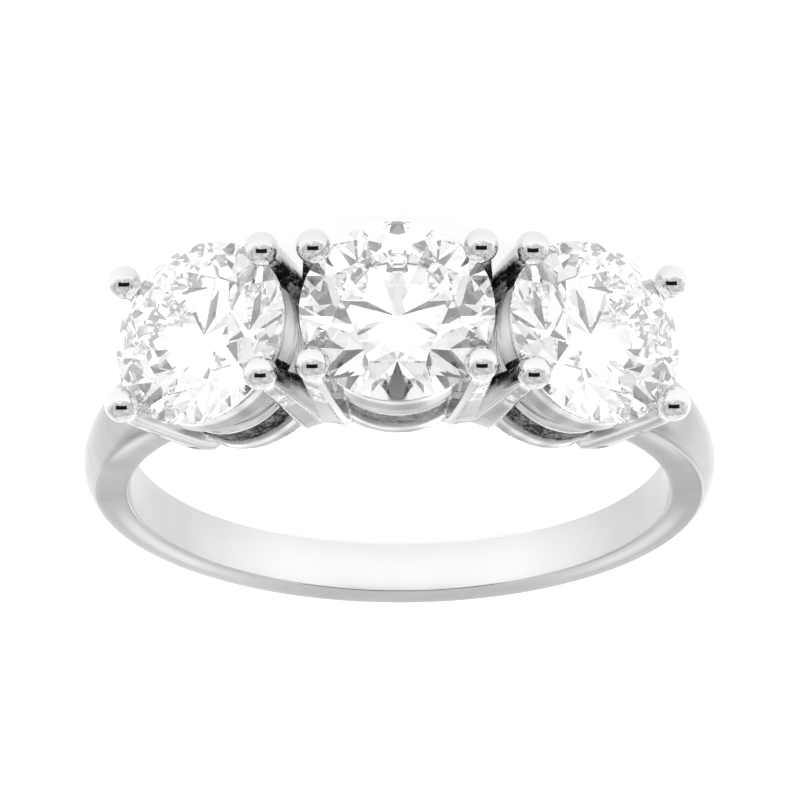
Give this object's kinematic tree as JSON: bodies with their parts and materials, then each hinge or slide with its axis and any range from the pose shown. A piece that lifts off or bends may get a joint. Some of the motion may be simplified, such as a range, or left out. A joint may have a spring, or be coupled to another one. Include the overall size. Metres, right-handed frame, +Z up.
{
  "type": "three stone ring",
  "caption": "Finger ring of polished white metal with a row of equal round brilliant stones, each held in an open basket by ball-tipped claws, on a domed band that narrows to the palm.",
  "frame": {"origin": "on the floor, under the middle of the ring's outline as it lies on its side", "axes": "+Z up from the floor, -Y from the ring's middle to its stones, +X along the row of stones to the right stone"},
  "size_m": [0.0202, 0.0233, 0.006],
  "materials": {
    "white_metal": "polished",
    "clear_stone": "faceted and polished"
  },
  "bodies": {
    "root": {"ring_mount": "white_metal", "centre_stone": "clear_stone", "left_stone": "clear_stone", "right_stone": "clear_stone"}
  },
  "joints": []
}
